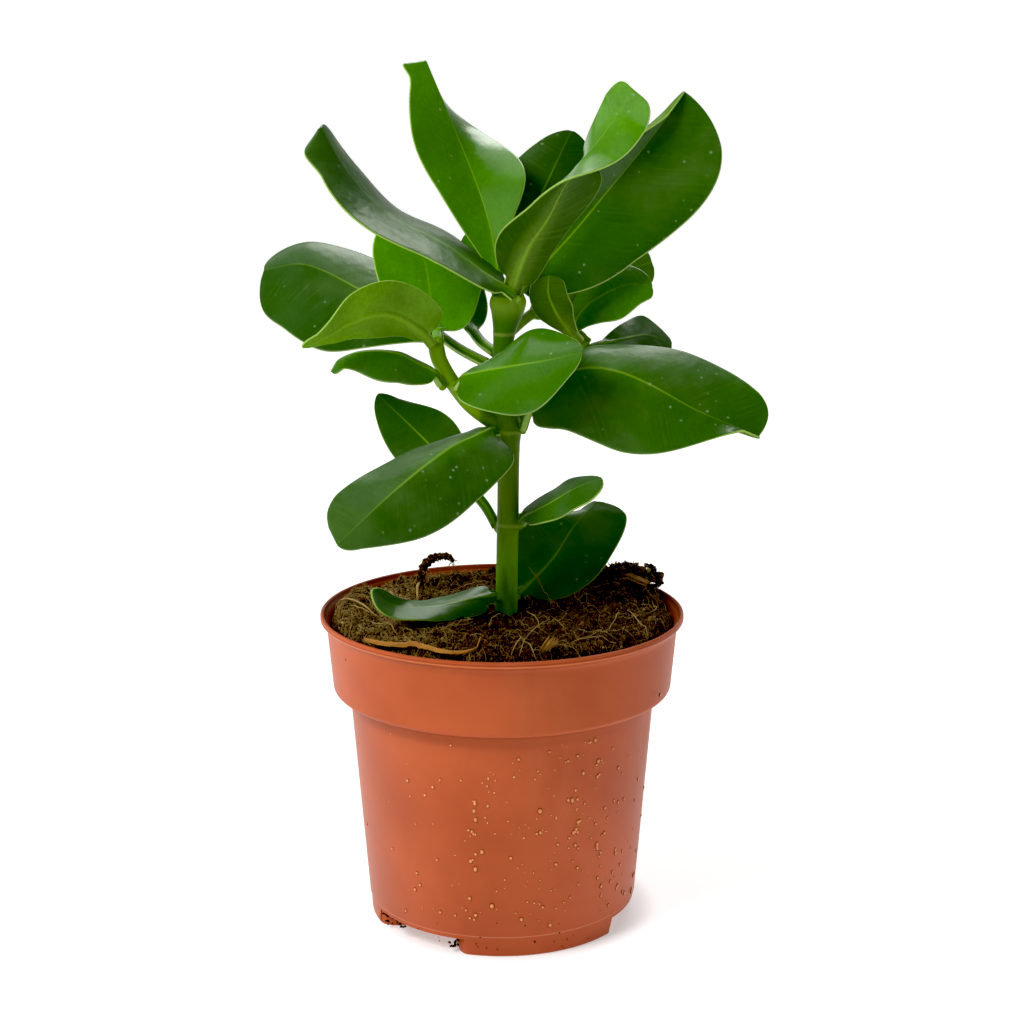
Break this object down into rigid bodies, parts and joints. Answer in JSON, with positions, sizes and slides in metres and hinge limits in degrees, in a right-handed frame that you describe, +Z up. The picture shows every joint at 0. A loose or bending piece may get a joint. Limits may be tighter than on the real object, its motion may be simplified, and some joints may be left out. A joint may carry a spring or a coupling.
{
  "type": "potted autograph tree",
  "caption": "Small potted shrub with thick paddle-shaped leaves on a branching green stem, in a plain terracotta-coloured nursery pot filled with coir soil.",
  "frame": {"origin": "on the surface the pot stands on, under the middle of the whole plant's outline seen from above (3 mm towards +X from the pot's axis)", "axes": "+Z up along the pot's axis and the stem; -Y is the plant's front, +X its right as seen from the front"},
  "size_m": [0.1667, 0.12, 0.2812],
  "materials": {
    "pot_plastic": "terracotta-coloured polypropylene, smooth satin, with water drops",
    "coir_soil": "damp dark brown coir and peat with tan fibres",
    "green_stem": "smooth green stem with pale ring scars",
    "mature_leaf": "thick glossy dark green leaf with a thin pale margin and a light midrib, paler and matt underneath",
    "young_leaf": "glossy bright green young leaf with a pale margin, yellow-green underneath"
  },
  "bodies": {
    "root": {"pot": "pot_plastic", "soil": "coir_soil", "stem": "green_stem", "leaf_top_left": "mature_leaf", "leaf_upper_left": "mature_leaf", "leaf_top_twisted": "mature_leaf", "leaf_upper_right": "mature_leaf", "leaf_top_back": "mature_leaf", "leaf_left_large": "mature_leaf", "leaf_left_back": "mature_leaf", "leaf_left_shoot_up": "mature_leaf", "leaf_right_large": "mature_leaf", "leaf_right_back": "mature_leaf", "leaf_right_hidden": "mature_leaf", "leaf_low_back": "mature_leaf", "leaf_low_left": "mature_leaf", "leaf_low_right": "mature_leaf", "leaf_soil_left": "mature_leaf", "leaf_left_shoot_arching": "young_leaf", "leaf_left_shoot_low": "young_leaf", "leaf_left_shoot_front": "young_leaf", "leaf_right_shoot_narrow": "young_leaf", "leaf_right_shoot_glossy": "young_leaf", "leaf_top_small": "young_leaf", "leaf_soil_right": "young_leaf"}
  },
  "joints": []
}
